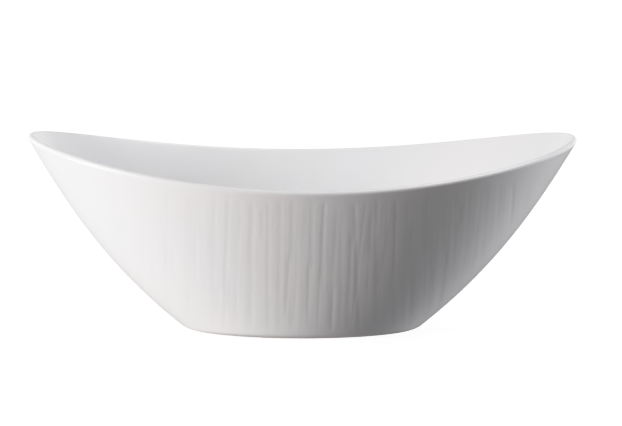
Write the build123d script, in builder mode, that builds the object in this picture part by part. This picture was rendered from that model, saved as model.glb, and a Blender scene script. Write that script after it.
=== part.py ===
"""Oval porcelain serving bowl: a boat-shaped shell standing on a low foot ring.

Units are millimetres. X runs along the bowl, Y across it and Z is up. The origin
is at the centre of the foot, on the surface that the bowl stands on.
"""

import os
from math import hypot

from build123d import *

# Driving dimensions
half_length = 171.8       # centre to the end wall at tip height, before the lip is rounded
tip_height = 122.3        # the rim at the two ends
side_height = 99.6        # the rim at the middle of each side
side_reach = 110.2        # half-width that the side walls would have at tip height
base_half_length = 72.8   # flat base, before its edge is rounded
base_half_width = 42.5
end_swell = 0.42          # how far the end walls bow outward between base and tip
end_drift = 0.13          # shifts that bow towards the lower half of the wall
side_swell = 0.10         # the same bow on the side walls
wall = 4.0                # thickness of the wall, measured square to it
floor = 5.0               # thickness of the floor over the recessed underside
base_rounding = 9.0       # radius between the wall and the base, outside
floor_rounding = 14.0     # radius between the wall and the floor, inside
lip_rounding = 1.7        # radius of both edges of the rim
foot_height = 2.0         # height of the foot ring under the shell
foot_width = 5.0          # width of the foot ring at its foot
foot_rounding = 0.8       # radius of the foot ring's inner bottom edge
overrun = 6.0             # how far the blanks stand above the rim before it is cut
sections = 9              # ovals in each loft


def outer_oval(height):
    """Half-length and half-width of the outside at a height."""
    up = height / tip_height
    bow = up * (1 - up)
    along = up + end_swell * bow + end_drift * bow * (1 - 2 * up)
    across = up + side_swell * bow
    return (
        base_half_length + (half_length - base_half_length) * along,
        base_half_width + (side_reach - base_half_width) * across,
    )


def inner_oval(height):
    """Half-length and half-width of the inside, one wall thickness in from the outside."""
    step = 0.5
    long_low, wide_low = outer_oval(height - step)
    long_here, wide_here = outer_oval(height)
    long_high, wide_high = outer_oval(height + step)
    return (
        long_here - wall * hypot(1, (long_high - long_low) / (2 * step)),
        wide_here - wall * hypot(1, (wide_high - wide_low) / (2 * step)),
    )


def loft_heights(lowest):
    """Evenly spaced heights from the lowest section to above the rim."""
    highest = tip_height + overrun
    return [lowest + (highest - lowest) * i / (sections - 1) for i in range(sections)]


# Solid blank with the outside shape of the bowl and its foot
with BuildPart() as blank:
    for height in loft_heights(0.0):
        with BuildSketch(Plane.XY.offset(height)):
            Ellipse(*outer_oval(height))
    loft()
    fillet(blank.edges().group_by(Axis.Z)[0], radius=base_rounding)

# Solid with the shape of the space inside the bowl
with BuildPart() as hollow:
    for height in loft_heights(foot_height + floor):
        with BuildSketch(Plane.XY.offset(height)):
            Ellipse(*inner_oval(height))
    loft()
    fillet(hollow.edges().group_by(Axis.Z)[0], radius=floor_rounding)

# Everything above the rim, which dips from the tips to the middle of the sides
rim_reach = half_length + overrun
rim_gain = (tip_height - side_height) * (rim_reach / half_length) ** 2
ceiling = tip_height + 4 * overrun
with BuildPart() as above_rim:
    with BuildSketch(Plane.XZ):
        with BuildLine():
            dip = Bezier(
                (-rim_reach, side_height + rim_gain),
                (0, side_height - rim_gain),
                (rim_reach, side_height + rim_gain),
            )
            Polyline(dip @ 1, (rim_reach, ceiling), (-rim_reach, ceiling), dip @ 0)
        make_face()
    extrude(amount=side_reach + overrun, both=True)

# The shell: wall, rounded lip, floor and the recessed glazed underside
with BuildPart() as bowl:
    add(blank.part)
    split(bisect_by=Plane.XY.offset(foot_height), keep=Keep.TOP)
    add(hollow.part, mode=Mode.SUBTRACT)
    add(above_rim.part, mode=Mode.SUBTRACT)
    rim_edges = bowl.edges().filter_by(lambda edge: edge.center().Z > side_height - 1)
    fillet(rim_edges, radius=lip_rounding)

# The foot ring: carries the shell's rounding down to a flat, unglazed tread
with BuildPart() as foot_ring:
    add(blank.part)
    split(bisect_by=Plane.XY.offset(foot_height), keep=Keep.BOTTOM)
    underside = foot_ring.faces().sort_by(Axis.Z)[0].bounding_box()
    recess_half_length = underside.max.X - foot_width
    recess_half_width = underside.max.Y - foot_width
    with BuildSketch():
        Ellipse(recess_half_length, recess_half_width)
    extrude(amount=foot_height, mode=Mode.SUBTRACT)
    inner_edge = foot_ring.edges().group_by(Axis.Z)[0].sort_by(SortBy.LENGTH)[0]
    fillet(inner_edge, radius=foot_rounding)

os.makedirs("parts", exist_ok=True)

bowl.part.label = "bowl"
export_step(bowl.part, "parts/bowl.step")

foot_ring.part.label = "foot_ring"
export_step(foot_ring.part, "parts/foot_ring.step")
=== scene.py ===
import bmesh
import bpy
import numpy as np
from mathutils import Matrix, Vector


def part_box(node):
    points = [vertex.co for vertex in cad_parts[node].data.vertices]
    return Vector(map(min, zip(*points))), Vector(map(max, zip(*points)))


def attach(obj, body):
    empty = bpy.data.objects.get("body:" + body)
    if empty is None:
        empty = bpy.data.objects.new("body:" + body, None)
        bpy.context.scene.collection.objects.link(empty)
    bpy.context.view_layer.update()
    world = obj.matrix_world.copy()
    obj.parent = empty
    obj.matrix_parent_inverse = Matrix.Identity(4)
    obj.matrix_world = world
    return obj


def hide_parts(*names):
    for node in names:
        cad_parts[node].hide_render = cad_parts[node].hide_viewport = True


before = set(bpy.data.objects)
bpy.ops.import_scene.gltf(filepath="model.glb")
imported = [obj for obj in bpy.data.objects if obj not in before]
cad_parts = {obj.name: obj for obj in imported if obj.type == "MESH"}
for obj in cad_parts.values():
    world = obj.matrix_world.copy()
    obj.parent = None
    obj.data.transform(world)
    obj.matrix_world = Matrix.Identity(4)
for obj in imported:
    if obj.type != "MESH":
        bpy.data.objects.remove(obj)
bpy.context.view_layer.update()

# The shell
# One thin porcelain casting from a plaster mould: an oval wall flaring to a rim with two
# raised tips, its lip fettled round, then glazed all over except under the foot ring.
mm = 0.001
shell_low, shell_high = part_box("bowl")
foot_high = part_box("foot_ring")[1]

wall = 4.0 * mm
lip_radius = wall / 2
floor_thickness = 5.0 * mm
seam_height = shell_low.z
floor_height = seam_height + floor_thickness
base_rounding = 9.0 * mm
floor_rounding = 14.0 * mm

# The wall as it would be before its lip and its lower edge are rounded
half_length = shell_high.x + 1.76 * mm
tip_height = shell_high.z + 0.97 * mm
side_height = 0.821 * shell_high.z
side_reach = 1.13 * shell_high.y
base_half_length = foot_high.x - 2.5 * mm
base_half_width = foot_high.y - 0.6 * mm
end_swell = 0.42
end_drift = 0.13
side_swell = 0.10


def wall_reach(height):
    """Half-length and half-width of the outside at a height."""
    up = height / tip_height
    bow = up * (1 - up)
    along = up + end_swell * bow + end_drift * bow * (1 - 2 * up)
    across = up + side_swell * bow
    reach_x = base_half_length + (half_length - base_half_length) * along
    reach_y = base_half_width + (side_reach - base_half_width) * across
    return reach_x, reach_y


def outward(x, y, height):
    """Unit normals of the outside wall at points on it."""
    step = 0.1 * mm
    a, b = wall_reach(height)
    a_above, b_above = wall_reach(height + step)
    a_slope = (a_above - a) / step
    b_slope = (b_above - b) / step
    lean = -(x**2 * a_slope / a**3 + y**2 * b_slope / b**3)
    normal = np.stack([x / a**2, y / b**2, lean], axis=-1)
    return normal / np.linalg.norm(normal, axis=-1, keepdims=True)


def on_wall(turn, height):
    """Points on the outside wall; turn runs from the +X tip by the front to the -X tip and back."""
    a, b = wall_reach(height)
    x = a * np.cos(turn)
    y = -b * np.sin(turn)
    return x, y, height


def settle(rule, turn):
    """The height at each turn that agrees with a rule for it, found by going round."""
    height = np.full_like(turn, 0.1 * tip_height)
    rounds = 60
    for _ in range(rounds):
        x, y, z = on_wall(turn, height)
        height = 0.5 * height + 0.5 * rule(x, outward(x, y, z))
    return height


def lip_edge_rule(x, normal):
    """Where the outside wall meets the rounded lip, below a crest that rises to the tips."""
    crest = side_height + (shell_high.z - side_height) * (x / shell_high.x) ** 2
    return crest - lip_radius * (1 - normal[..., 2])


def base_edge_rule(x, normal):
    """Where the outside wall meets the rounding of the base."""
    return base_rounding * (1 + normal[..., 2])


def floor_edge_rule(x, normal):
    """Where the inside wall meets the rounding of the floor."""
    return floor_height + floor_rounding * (1 + normal[..., 2]) + wall * normal[..., 2]


# The wall is drawn in upright columns, because the lines in it are upright. Each column
# keeps one x, and runs from the base, or from the keel of the end wall, up to the lip.
columns = 776

# How far apart the columns are along the lip, compared with each other: widest at the tips
fine_spacing = 0.47
tip_spacing = 1.0
tip_narrowness = 16

half_turn = np.linspace(0, np.pi, 4001)
lip_z = settle(lip_edge_rule, half_turn)
lip_x, lip_y, _ = on_wall(half_turn, lip_z)
lip_steps = np.sqrt(np.diff(lip_x) ** 2 + np.diff(lip_y) ** 2 + np.diff(lip_z) ** 2)
middle_cos = np.cos((half_turn[1:] + half_turn[:-1]) / 2)
spacing = fine_spacing + (tip_spacing - fine_spacing) * middle_cos**tip_narrowness
drawn = np.concatenate([[0], np.cumsum(lip_steps / spacing)])
column_turn = np.interp(np.linspace(0, drawn[-1], columns + 1), drawn, half_turn)

base_z = settle(base_edge_rule, half_turn)
base_x = on_wall(half_turn, base_z)[0]
base_end = base_x[0]

# One column starts exactly at each end of the base oval
column_x = np.interp(column_turn, half_turn, lip_x)
first_base = int(np.argmin(abs(column_x - base_end)))
last_base = columns - first_base
column_turn[first_base] = np.interp(-base_end, -lip_x, half_turn)
column_turn[last_base] = np.pi - column_turn[first_base]
column_x = np.interp(column_turn, half_turn, lip_x)
column_top = np.interp(column_turn, half_turn, lip_z)

keel_z = np.linspace(0.5 * mm, tip_height, 3000)
keel_x = wall_reach(keel_z)[0]
column_bottom = np.where(
    abs(column_x) < base_end,
    np.interp(-column_x, -base_x, base_z),
    np.interp(abs(column_x), keel_x, keel_z),
)

# Heights of the rows in a column: close together where the lines begin and end
top_rows = np.linspace(0, 16, 13) * mm
middle_rows = np.linspace(16, 102, 26)[1:-1] * mm
bottom_rows = np.linspace(102, 108, 5) * mm
row_depths = np.concatenate([top_rows, middle_rows, bottom_rows])
row_share = 1 - row_depths[::-1] / row_depths[-1]
rows = len(row_share)

samples = np.linspace(0, 1, 600)[:, None] ** 2
path_z = column_bottom + (column_top - column_bottom) * samples
path_a, path_b = wall_reach(path_z)
path_y = path_b * np.sqrt(np.clip(1 - (column_x / path_a) ** 2, 0, 1))
path_steps = np.hypot(np.diff(path_z, axis=0), np.diff(path_y, axis=0))
path_length = np.concatenate([np.zeros((1, columns + 1)), np.cumsum(path_steps, axis=0)])
grid_z = np.empty((rows, columns + 1))
for j in range(columns + 1):
    grid_z[:, j] = np.interp(row_share * path_length[-1, j], path_length[:, j], path_z[:, j])
grid_x = np.broadcast_to(column_x, grid_z.shape)
grid_a, grid_b = wall_reach(grid_z)
grid_y = grid_b * np.sqrt(np.clip(1 - (grid_x / grid_a) ** 2, 0, 1))


# Lines that stand out on the front: where each begins under the rim and ends at the
# foot, in mm along the bowl, and how deep it is cut compared with the deepest.
front_lines = [
    (-141.5, -138.5, 0.5), (-128, -126, 0.5), (-115.5, -114, 0.6), (-100, -99, 0.5),
    (-84.5, -85, 0.8), (-71.5, -70, 0.7), (-57, -56.5, 0.8), (-49, -49.5, 1.0),
    (-42.5, -42, 0.6), (-35, -33, 0.8), (-26, -23, 0.7), (-19, -16.5, 0.8),
    (-11.5, -8.5, 0.9), (-1, 4, 0.8), (7, 7, 1.0), (14.5, 15.5, 1.0),
    (24.5, 33, 1.0), (32, 27.5, 0.6), (38.5, 43.5, 0.7), (49.5, 54, 0.6),
    (57.5, 59.5, 0.5), (68.5, 73, 0.6), (78, 84, 0.5), (85.5, 91, 0.6),
    (94.5, 97, 0.6), (104.5, 109, 0.6), (114, 117, 0.5), (122, 126, 0.6),
    (133.5, 136, 0.5), (144, 147, 0.4),
]
deepest = 0.052 * mm
depth_limit = 2.2 * deepest
whole_height = 130 * mm
front_seed = 11
back_seed = 29
full_turn = 6.28

# How hard the tool was pressed at places along the front, in mm, and along the back
front_pressure = [
    (-150, 0.8), (-65, 0.9), (-30, 1.0), (10, 0.88),
    (40, 1.22), (76, 1.2), (100, 1.2), (150, 1.1),
]
back_pressure = [(-150, 1.0), (150, 1.0)]


class Line:
    """One line drawn down the wall of the model with a loop tool."""

    entry_run = 5 * mm
    exit_run = 4 * mm
    foot_gap = 1.99 * mm
    top_press = 1.15
    press_loss = 0.4

    def __init__(self, top_x, foot_x, depth, start, length, dice):
        self.top_x = top_x
        self.drop = np.interp(-top_x, -column_x, column_top - column_bottom)
        self.lean = foot_x - top_x
        self.depth = depth * deepest
        self.start = start
        self.stop = start + length
        self.half_width = dice.uniform(0.65, 1.3) * mm
        self.shoulder = dice.uniform(0.1, 0.45)
        self.sways = [self.sway(0.15, 4, 8, dice), self.sway(0.07, 12, 26, dice)]
        self.easing = dice.uniform(0, 0.5)
        self.easing_turns = dice.uniform(6, 16)
        self.easing_phase = dice.uniform(0, full_turn)
        self.hook = dice.normal(0, 0.6) * mm

    def sway(self, spread, slowest, fastest, dice):
        """A wander to left and right: its reach, how fast it turns, and where it starts."""
        reach = dice.normal(0, spread) * mm
        return reach, dice.uniform(slowest, fastest), dice.uniform(0, full_turn)

    def cut(self, x, below_rim, above_foot):
        """How deep the line is at points x, each so far below the rim and above the foot."""
        down = below_rim / self.drop
        middle = self.top_x + self.lean * down
        for reach, turns, phase in self.sways:
            middle = middle + reach * np.sin(turns * down + phase)
        entry = np.clip((below_rim - self.start) / self.entry_run, 0, 1)
        middle = middle + self.hook * (1 - entry) ** 2
        left_to_go = np.minimum(above_foot - self.foot_gap, self.stop - below_rim)
        fade = entry**0.7 * np.clip(left_to_go / self.exit_run, 0, 1)
        wave = 0.5 + 0.5 * np.sin(self.easing_turns * down + self.easing_phase)
        press = (self.top_press - self.press_loss * down) * (1 - self.easing * wave)
        off = ((x - middle) / self.half_width) ** 2
        groove = np.exp(-0.5 * off) + self.shoulder * np.exp(-0.08 * off)
        return self.depth * fade * press * groove


def places_along(end, gaps, dice):
    """Places in mm from one end of the bowl to the other, at random gaps."""
    x = -end
    while x < end:
        yield x
        x += dice.uniform(*gaps)


def draw_lines(seed, chosen, pressures):
    """Strong lines, chosen or drawn at random, then fine ones and short ones between them."""
    dice = np.random.RandomState(seed)
    lines = []
    for top, foot, depth in chosen:
        start = dice.uniform(1, 4) * mm
        lines.append(Line(top * mm, foot * mm, depth, start, whole_height, dice))
    if not chosen:
        for top in places_along(158, (5.5, 12), dice):
            foot = top + dice.normal(0, 2.5)
            depth = dice.uniform(0.4, 1.0)
            start = dice.uniform(1, 4) * mm
            lines.append(Line(top * mm, foot * mm, depth, start, whole_height, dice))
    for top in places_along(165, (2.0, 4.6), dice):
        foot = top + 2 + dice.normal(0, 1.4)
        depth = dice.uniform(0.1, 0.5)
        start = dice.uniform(1.5, 8) * mm
        lines.append(Line(top * mm, foot * mm, depth, start, whole_height, dice))
    for top in places_along(165, (1.3, 3.2), dice):
        foot = top + 2 + dice.normal(0, 1.8)
        depth = dice.uniform(0.25, 0.8)
        start = dice.uniform(5, 75) * mm
        length = dice.uniform(14, 46) * mm
        lines.append(Line(top * mm, foot * mm, depth, start, length, dice))
    for line in lines:
        line.depth *= np.interp(line.top_x / mm, *zip(*pressures))
    return lines


def relief(lines):
    """Depth of all the lines together over one side of the bowl."""
    below_rim = np.maximum(column_top - grid_z, 0.0)
    above_foot = np.maximum(grid_z - column_bottom, 0.0)
    depth = np.zeros_like(grid_x)
    for line in lines:
        depth = depth + line.cut(grid_x, below_rim, above_foot)
    return np.minimum(depth, depth_limit)


front_depth = relief(draw_lines(front_seed, front_lines, front_pressure))
back_depth = relief(draw_lines(back_seed, [], back_pressure))

# The lines of the two sides run into each other where they meet on the keel
keel_blend = 12.0 * mm
frontness = 0.5 + 0.5 * np.clip(grid_y / keel_blend, 0, 1)
front_cut = frontness * front_depth + (1 - frontness) * back_depth
back_cut = frontness * back_depth + (1 - frontness) * front_depth

points = []
faces = []
cuts = []


def add_points(xyz, cut=0.0):
    """Adds points and gives back their numbers in the same arrangement."""
    xyz = np.asarray(xyz, float)
    start = sum(len(block) for block in points)
    flat = xyz.reshape(-1, 3)
    points.append(flat)
    cuts.append(np.broadcast_to(cut, xyz.shape[:-1]).reshape(-1))
    return np.arange(start, start + len(flat)).reshape(xyz.shape[:-1])


def skin(lower, upper):
    """Quads between two closed loops of equally many points."""
    lower_next = np.roll(lower, -1)
    upper_next = np.roll(upper, -1)
    faces.extend(np.stack([lower, lower_next, upper_next, upper], axis=-1).tolist())


front_normal = outward(grid_x, -grid_y, grid_z)
front_points = np.stack([grid_x, -grid_y, grid_z], -1) - front_normal * front_cut[..., None]
back_normal = front_normal * np.array([1, -1, 1])
back_points = np.stack([grid_x, grid_y, grid_z], -1) - back_normal * back_cut[..., None]

front = add_points(front_points[:, 1:-1], front_cut[:, 1:-1])
back = add_points(back_points[:, 1:-1], back_cut[:, 1:-1])
tips = add_points(front_points[-1, [0, -1]])
front = np.concatenate([np.full((rows, 1), tips[0]), front, np.full((rows, 1), tips[1])], axis=1)
back = np.concatenate([np.full((rows, 1), tips[0]), back, np.full((rows, 1), tips[1])], axis=1)

# Front and back share the points of the keel
keel = np.r_[1 : first_base + 1, last_base:columns]
back[0, keel] = front[0, keel]


def quads(grid, flip):
    """Quads between the columns of a grid, or triangles where two corners are the same point."""
    low_left, low_right = grid[:-1, :-1], grid[:-1, 1:]
    high_left, high_right = grid[1:, :-1], grid[1:, 1:]
    ring = [low_left, high_left, high_right, low_right]
    if flip:
        ring = ring[::-1]
    for corners in np.stack(ring, axis=-1).reshape(-1, 4).tolist():
        kept = list(dict.fromkeys(corners))
        if len(kept) > 2:
            faces.append(kept)


quads(front, False)
quads(back, True)


def ring_order(along_front, along_back):
    """One closed loop, front from +X to -X, then back again."""
    return np.concatenate([along_front, along_back[-2:0:-1]])


# The lip: the top of the wall is fettled round. Lip and inside have one point to four columns.
coarse = 4
edge = ring_order(front[-1], back[-1])
edge_turn = ring_order(column_turn, 2 * np.pi - column_turn)
lip_turn = edge_turn[::coarse]
lip_height = np.interp(np.minimum(lip_turn, 2 * np.pi - lip_turn), half_turn, lip_z)
lip_points = np.stack(on_wall(lip_turn, lip_height), axis=-1)
lip_normal = outward(*lip_points.T)
rim_way = np.roll(lip_points, -1, axis=0) - np.roll(lip_points, 1, axis=0)
lip_up = np.cross(lip_normal, rim_way)
lip_up = lip_up / np.linalg.norm(lip_up, axis=-1, keepdims=True)
lip_up = lip_up * np.sign(lip_up[:, 2:])
lip_middle = lip_points - lip_radius * lip_normal

lip_angles = np.linspace(0, np.pi, 15)[1:]
lip_rings = []
for angle in lip_angles:
    ring = lip_middle + lip_radius * (np.cos(angle) * lip_normal + np.sin(angle) * lip_up)
    lip_rings.append(add_points(ring))

first_ring = lip_rings[0]
count = len(first_ring)
for k in range(count):
    here, there = int(first_ring[k]), int(first_ring[(k + 1) % count])
    run = [int(edge[(coarse * k + i) % len(edge)]) for i in range(coarse + 1)]
    half = coarse // 2
    for i in range(coarse):
        faces.append([run[i], run[i + 1], here if i < half else there])
    faces.append([run[half], there, here])
for lower, upper in zip(lip_rings, lip_rings[1:]):
    skin(lower, upper)

# The smooth inside: wall, rounding and floor
inner_rows = 32
inner_bottom = settle(floor_edge_rule, np.minimum(lip_turn, 2 * np.pi - lip_turn))
ring = lip_rings[-1]
for share in np.linspace(0, 1, inner_rows + 1)[1:]:
    height = lip_height + (inner_bottom - lip_height) * share
    place = np.stack(on_wall(lip_turn, height), axis=-1)
    normal = outward(*place.T)
    inside = place - wall * normal
    next_ring = add_points(inside)
    skin(ring, next_ring)
    ring = next_ring

bend_centre = inside - floor_rounding * normal
straight_down = np.array([0.0, 0.0, -1.0])


def swing(start, share):
    """Directions part of the way from start to straight down."""
    angle = np.arccos(np.clip(start @ straight_down, -1, 1))[:, None]
    return (np.sin((1 - share) * angle) * start + np.sin(share * angle) * straight_down) / np.sin(angle)


for share in np.linspace(0, 1, 11)[1:]:
    inside = bend_centre + floor_rounding * swing(normal, share)
    next_ring = add_points(inside)
    skin(ring, next_ring)
    ring = next_ring
for share in (0.82, 0.62, 0.42, 0.22, 0.08):
    next_ring = add_points(inside * np.array([share, share, 1.0]))
    skin(ring, next_ring)
    ring = next_ring
middle = int(add_points([[0, 0, inside[0, 2]]])[0])
for here, there in zip(ring, np.roll(ring, -1)):
    faces.append([int(here), int(there), middle])

# The rounded lower corner, down to the seam with the foot, where the glaze ends in a soft
# edge, and the underside inside the foot, which the firing leaves a little domed
base_columns = np.arange(first_base, last_base + 1)
ring = ring_order(front[0, base_columns], back[0, base_columns])
corner = ring_order(front_points[0, base_columns], back_points[0, base_columns])
corner_normal = ring_order(front_normal[0, base_columns], back_normal[0, base_columns])
corner_centre = corner - base_rounding * corner_normal
whole_swing = np.arccos(np.clip(corner_normal @ straight_down, -1, 1))
seam_swing = whole_swing - np.arccos((corner_centre[:, 2] - seam_height) / base_rounding)
seam_share = (seam_swing / whole_swing)[:, None]
plan_normal = corner_normal * np.array([1, 1, 0])
plan_normal = plan_normal / np.linalg.norm(plan_normal, axis=-1, keepdims=True)
for share in (0.2, 0.4, 0.6, 0.8, 0.95):
    corner = corner_centre + base_rounding * swing(corner_normal, share * seam_share)
    next_ring = add_points(corner)
    skin(next_ring, ring)
    ring = next_ring
seam = corner_centre + base_rounding * swing(corner_normal, seam_share)
glaze_edge = 0.35 * mm
for inset, lift in ((0.06, 0.4), (0.3, 0.08), (1.0, 0.0)):
    bead = seam - inset * glaze_edge * plan_normal
    bead[:, 2] = seam_height + lift * glaze_edge
    next_ring = add_points(bead)
    skin(next_ring, ring)
    ring = next_ring
dome = 0.5 * mm
for share in (0.97, 0.9, 0.84, 0.6, 0.35, 0.12):
    lift = dome * (1 - share**2) if share < 0.85 else 0.0
    under = bead * np.array([share, share, 1.0]) + np.array([0.0, 0.0, lift])
    next_ring = add_points(under)
    skin(next_ring, ring)
    ring = next_ring
middle = int(add_points([[0, 0, seam_height + dome]])[0])
for here, there in zip(ring, np.roll(ring, -1)):
    faces.append([int(there), int(here), middle])


sharp_angle = 0.7


def mesh_piece(name):
    """A smooth-shaded piece from the points, faces and cuts gathered since the last one."""
    mesh = bpy.data.meshes.new(name)
    mesh.from_pydata(np.concatenate(points).tolist(), [], faces)
    layer = mesh.attributes.new("cut", "FLOAT", "POINT")
    layer.data.foreach_set("value", np.concatenate(cuts) / deepest)
    tidy = bmesh.new()
    tidy.from_mesh(mesh)
    loose = [vertex for vertex in tidy.verts if not vertex.link_faces]
    bmesh.ops.delete(tidy, geom=loose, context="VERTS")
    bmesh.ops.recalc_face_normals(tidy, faces=tidy.faces)
    tidy.to_mesh(mesh)
    tidy.free()
    mesh.shade_smooth()
    mesh.set_sharp_from_angle(angle=sharp_angle)
    piece = bpy.data.objects.new(name, mesh)
    bpy.context.collection.objects.link(piece)
    return piece


shell = mesh_piece("bowl_shell")


class Wire:
    """An output in a material. Sums and products of wires add the Math nodes."""

    def __init__(self, tree, socket=None):
        self.tree = tree
        self.socket = socket

    def node(self, kind, settings, sockets, output=0):
        """Adds a node, sets it up, then gives its sockets values or wires."""
        made = self.tree.nodes.new(kind)
        for name, value in settings.items():
            setattr(made, name, value)
        for name, value in sockets.items():
            if isinstance(value, Wire):
                self.tree.links.new(value.socket, made.inputs[name])
            else:
                made.inputs[name].default_value = value
        return Wire(self.tree, made.outputs[output])

    def maths(self, operation, first, second):
        return self.node("ShaderNodeMath", {"operation": operation}, {0: first, 1: second})

    def __add__(self, other):
        return self.maths("ADD", self, other)

    def __rsub__(self, other):
        return self.maths("SUBTRACT", other, self)

    def __mul__(self, other):
        return self.maths("MULTIPLY", self, other)

    def __pow__(self, other):
        return self.maths("POWER", self, other)

    __radd__ = __add__
    __rmul__ = __mul__

    def noise(self, scale, detail):
        """Soft random mottling, 0 to 1, with this wire as the place."""
        sockets = {"Vector": self, "Scale": scale, "Detail": detail}
        return self.node("ShaderNodeTexNoise", {}, sockets, "Fac")

    def between(self, low, high):
        """0 below low, 1 above high, and a smooth step from one to the other."""
        sockets = {"Value": self, "From Min": low, "From Max": high}
        return self.node("ShaderNodeMapRange", {"interpolation_type": "SMOOTHSTEP"}, sockets)

    def mix(self, first, second):
        """The first colour where this wire is 0, the second where it is 1."""
        return self.node("ShaderNodeMix", {"data_type": "RGBA"}, {0: self, 6: first, 7: second}, 2)

    def bump(self, strength, distance):
        """A normal that rises and falls with this wire."""
        sockets = {"Strength": strength, "Distance": distance, "Height": self}
        return self.node("ShaderNodeBump", {}, sockets, "Normal")


def new_finish(name):
    """A material, and a place on its surface, in metres, to start its wires from."""
    material = bpy.data.materials.new(name)
    material.use_nodes = True
    start = Wire(material.node_tree)
    return material, start.node("ShaderNodeTexCoord", {}, {}, "Object")


def feed(material, sockets):
    """Gives the shader values that are the same all over, and wires that vary."""
    shader = material.node_tree.nodes["Principled BSDF"]
    for name, value in sockets.items():
        if isinstance(value, Wire):
            material.node_tree.links.new(value.socket, shader.inputs[name])
        else:
            shader.inputs[name].default_value = value


# Clear glaze over white porcelain: tones drift a little between warm and cool, glaze
# gathers in the lines, the surface ripples slightly, and the gloss is silky, not wet
warm_white = (0.874, 0.855, 0.848, 1)
cool_white = (0.860, 0.854, 0.868, 1)
gathered_glaze = (0.806, 0.800, 0.800, 1)
glaze, place = new_finish("glaze")
drift = place.noise(13, 2.0).between(0.35, 0.65)
in_lines = place.node("ShaderNodeAttribute", {"attribute_name": "cut"}, {}, "Fac")
mottle = place.noise(220, 3.0)
gathering = in_lines.between(0.1, 1.8) * 0.45 + mottle * 0.10
ripple = place.noise(48, 1.0) * 3.0 + place.noise(520, 2.0) * 0.22
feed(glaze, {
    "Base Color": gathering.mix(drift.mix(warm_white, cool_white), gathered_glaze),
    "Roughness": 0.29 + 0.10 * place.noise(30, 3.0) + 0.03 * mottle,
    "Coat Weight": 0.35,
    "Coat Roughness": 0.2,
    "Normal": ripple.bump(0.35, 0.1 * mm),
})
shell.data.materials.append(glaze)
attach(shell, "root")
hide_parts("bowl")

# The foot ring
# The low ring that the bowl stands on, cast in one with the shell. Its glaze is wiped off
# before firing, and the bare porcelain is rubbed smooth with a stone afterwards.
foot_width = 5.0 * mm
foot_rounding = 0.8 * mm
glaze_thickness = 0.15 * mm

points = []
faces = []
cuts = []
foot_rings = []
outer_swings = seam_share + (1 - seam_share) * np.linspace(0, 1, 13)[:, None, None]
for share in outer_swings:
    arc = corner_centre + base_rounding * swing(corner_normal, share)
    foot_rings.append(arc - glaze_thickness * plan_normal * (1 - share**6))
tread_edge = foot_rings[-1]
for inset in np.linspace(0.25, 1, 4) * (foot_width - foot_rounding):
    foot_rings.append(tread_edge - inset * plan_normal)
flat_end = foot_rings[-1]
for angle in np.linspace(0, np.pi / 2, 7)[1:]:
    around = np.sin(angle) * plan_normal * foot_rounding
    foot_rings.append(flat_end - around + np.array([0, 0, (1 - np.cos(angle)) * foot_rounding]))
inner_wall = foot_rings[-1].copy()
inner_wall[:, 2] = seam_height
foot_rings.append(inner_wall)
numbers = [add_points(ring) for ring in foot_rings]
for lower, upper in zip(numbers, numbers[1:] + numbers[:1]):
    skin(lower, upper)
foot = mesh_piece("foot_tread")

# Bare fired porcelain: a fine dry grain, and faint rubbing marks that follow the ring
bare_white = (0.80, 0.785, 0.75, 1)
rubbed_grey = (0.66, 0.645, 0.61, 1)
bare, place = new_finish("bare_porcelain")
axes = [place.node("ShaderNodeSeparateXYZ", {}, {"Vector": place}, axis) for axis in ("X", "Y")]
across, along = axes[0] * (1 / foot_high.x), axes[1] * (1 / foot_high.y)
out = (across * across + along * along) ** 0.5
way_round = across.maths("ARCTAN2", along, across)
ring_place = place.node("ShaderNodeCombineXYZ", {}, {"X": out * 60, "Y": way_round * 0.8, "Z": 0.0})
marks = ring_place.noise(3.0, 4.0)
grain = place.noise(1900, 4.0)
wear = marks.between(0.5, 0.75) * 0.5 + place.noise(90, 2.0).between(0.5, 0.8) * 0.3
feed(bare, {
    "Base Color": wear.mix(bare_white, rubbed_grey),
    "Roughness": 0.82 - 0.18 * marks,
    "Specular IOR Level": 0.35,
    "Normal": (grain + marks * 0.6).bump(0.5, 0.06 * mm),
})
foot.data.materials.append(bare)
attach(foot, "root")
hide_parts("foot_ring")

# The table and the backdrop
# A pale table top and a white surround, for the camera alone: the bowl is lit by the lamps
# only. The table glows slightly, brighter far from the bowl, so that it has no edge.
stage_radius = 13.0
table_top = Vector((0, 0, -0.1 * mm))
near_glow = (1.3, 1.3, 1.3, 1)
far_glow = (2.1, 2.1, 2.1, 1)


def stage_paint(name):
    """Matt white paint that can glow without lighting anything, and a place on it."""
    paint, place = new_finish(name)
    paint.cycles.emission_sampling = "NONE"
    tint = place.noise(4, 2.0).mix((0.90, 0.90, 0.90, 1), (0.93, 0.93, 0.93, 1))
    feed(paint, {"Base Color": tint, "Roughness": 1.0, "Specular IOR Level": 0.0})
    feed(paint, {"Emission Strength": 1.0})
    return paint, place


def put_on_stage(name, shape, paint):
    """Adds a stage piece that only the camera sees."""
    mesh = bpy.data.meshes.new(name)
    shape.to_mesh(mesh)
    shape.free()
    piece = bpy.data.objects.new(name, mesh)
    bpy.context.collection.objects.link(piece)
    mesh.materials.append(paint)
    piece.visible_diffuse = False
    piece.visible_glossy = False
    piece.visible_transmission = False
    piece.visible_shadow = False


table_paint, place = stage_paint("table_paint")
away = place.node("ShaderNodeVectorMath", {"operation": "LENGTH"}, {0: place}, "Value")
feed(table_paint, {"Emission Color": away.between(0.3, 1.6).mix(near_glow, far_glow)})
table = bmesh.new()
top_place = Matrix.Translation(table_top)
bmesh.ops.create_circle(table, cap_ends=True, segments=96, radius=stage_radius, matrix=top_place)
put_on_stage("table", table, table_paint)

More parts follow.
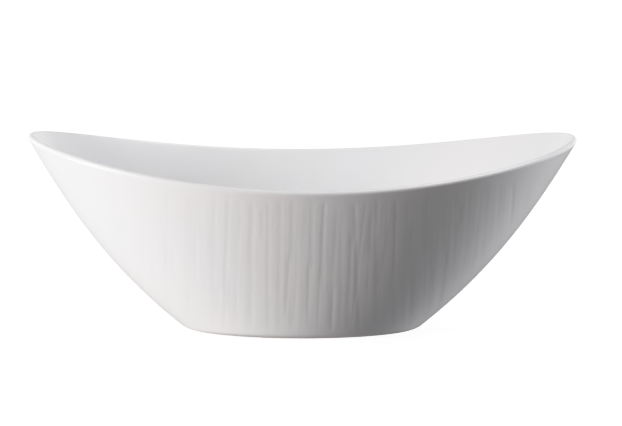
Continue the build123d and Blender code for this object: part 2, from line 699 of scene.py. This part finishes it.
surround_paint, place = stage_paint("surround_paint")
feed(surround_paint, {"Emission Color": far_glow})
surround = bmesh.new()
bmesh.ops.create_uvsphere(surround, u_segments=48, v_segments=24, radius=stage_radius)
put_on_stage("surround", surround, surround_paint)

# The light
# Six plain softboxes: a key and a low fill on the left, a weak one behind them, one on the
# right, one above, and a white backdrop. The rest of the room is nearly dark.
room = bpy.data.worlds.new("room")
bpy.context.scene.world = room
room.use_nodes = True
room.node_tree.nodes["Background"].inputs["Color"].default_value = (1, 1, 1, 1)
room.node_tree.nodes["Background"].inputs["Strength"].default_value = 0.012
lamp_distance = 3.0
bowl_middle = Vector((0, 0, 0.06))

# Name, degrees round from the camera's side, degrees up, width, height, brightness, tint
softboxes = [
    ("key_left", -58.5, 19, 1.0, 1.2, 21.0, (1.0, 0.984, 0.984)),
    ("low_left", -80, -18, 1.4, 1.0, 22.0, (1.0, 0.967, 0.962)),
    ("right", 100, -1, 1.1, 1.4, 20.0, (0.978, 0.976, 1.0)),
    ("above_right", 90, 65, 1.6, 1.6, 6.8, (0.96, 0.982, 1.0)),
    ("behind_left", -125, 5, 1.4, 1.4, 2.4, (0.98, 0.99, 1.0)),
    ("backdrop", 180, 8, 5.0, 2.0, 0.9, (1.0, 1.0, 1.0)),
]
for name, azimuth, elevation, width, height, brightness, tint in softboxes:
    light = bpy.data.lights.new(name, "AREA")
    light.shape = "RECTANGLE"
    light.size = width
    light.size_y = height
    light.energy = np.pi * width * height * brightness
    light.color = tint
    around, up = np.radians(azimuth), np.radians(elevation)
    away = Vector((np.sin(around) * np.cos(up), -np.cos(around) * np.cos(up), np.sin(up)))
    softbox = bpy.data.objects.new(name, light)
    softbox.location = bowl_middle + away * lamp_distance
    softbox.rotation_mode = "QUATERNION"
    softbox.rotation_quaternion = (-away).to_track_quat("-Z", "Y")
    softbox.visible_camera = False
    # Seen in the glaze, the right one would draw a white line along the round lip
    softbox.visible_glossy = name != "right"
    bpy.context.collection.objects.link(softbox)

# The camera
# A long lens 1.7 m away, slightly to the left, that looks at the bowl's front from a little
# above the rim. It is tilted by about half a degree.
lens_distance = 1.7
azimuth, elevation, roll = np.radians((-3.325, 9.2, 0.567))
target = Vector((0, 0, 0.0606))
level = Vector((np.sin(azimuth), -np.cos(azimuth), 0)) * np.cos(elevation)
toward_lens = level + Vector((0, 0, np.sin(elevation)))
right = Vector((np.cos(azimuth), np.sin(azimuth), 0))
up = toward_lens.cross(right)
screen_right = np.cos(roll) * right + np.sin(roll) * up
screen_up = -np.sin(roll) * right + np.cos(roll) * up
camera_data = bpy.data.cameras.new("camera")
camera_data.sensor_width = 36
camera_data.lens = 158.215
camera_data.shift_x = 0.013505
camera_data.shift_y = 0.028778
camera_data.clip_end = 60
camera = bpy.data.objects.new("camera", camera_data)
turn_to = Matrix((screen_right, screen_up, toward_lens)).transposed().to_4x4()
camera.matrix_world = Matrix.Translation(target + toward_lens * lens_distance) @ turn_to
bpy.context.collection.objects.link(camera)
bpy.context.scene.camera = camera

# The brightest tones are held back a little, as film does
view = bpy.context.scene.view_settings
view.view_transform = "Standard"
view.use_curve_mapping = True
tone = view.curve_mapping
tone.use_clip = False
tone.clip_max_x = 2.0
tone.clip_max_y = 2.0
tone_curve = tone.curves[3]
tone_curve.points[-1].location = (2.0, 1.02)
for bright, shown in ((0.3, 0.3), (0.6, 0.6), (0.8, 0.757), (1.0, 0.853), (1.25, 0.921), (1.6, 0.972)):
    tone_curve.points.new(bright, shown)
tone.update()
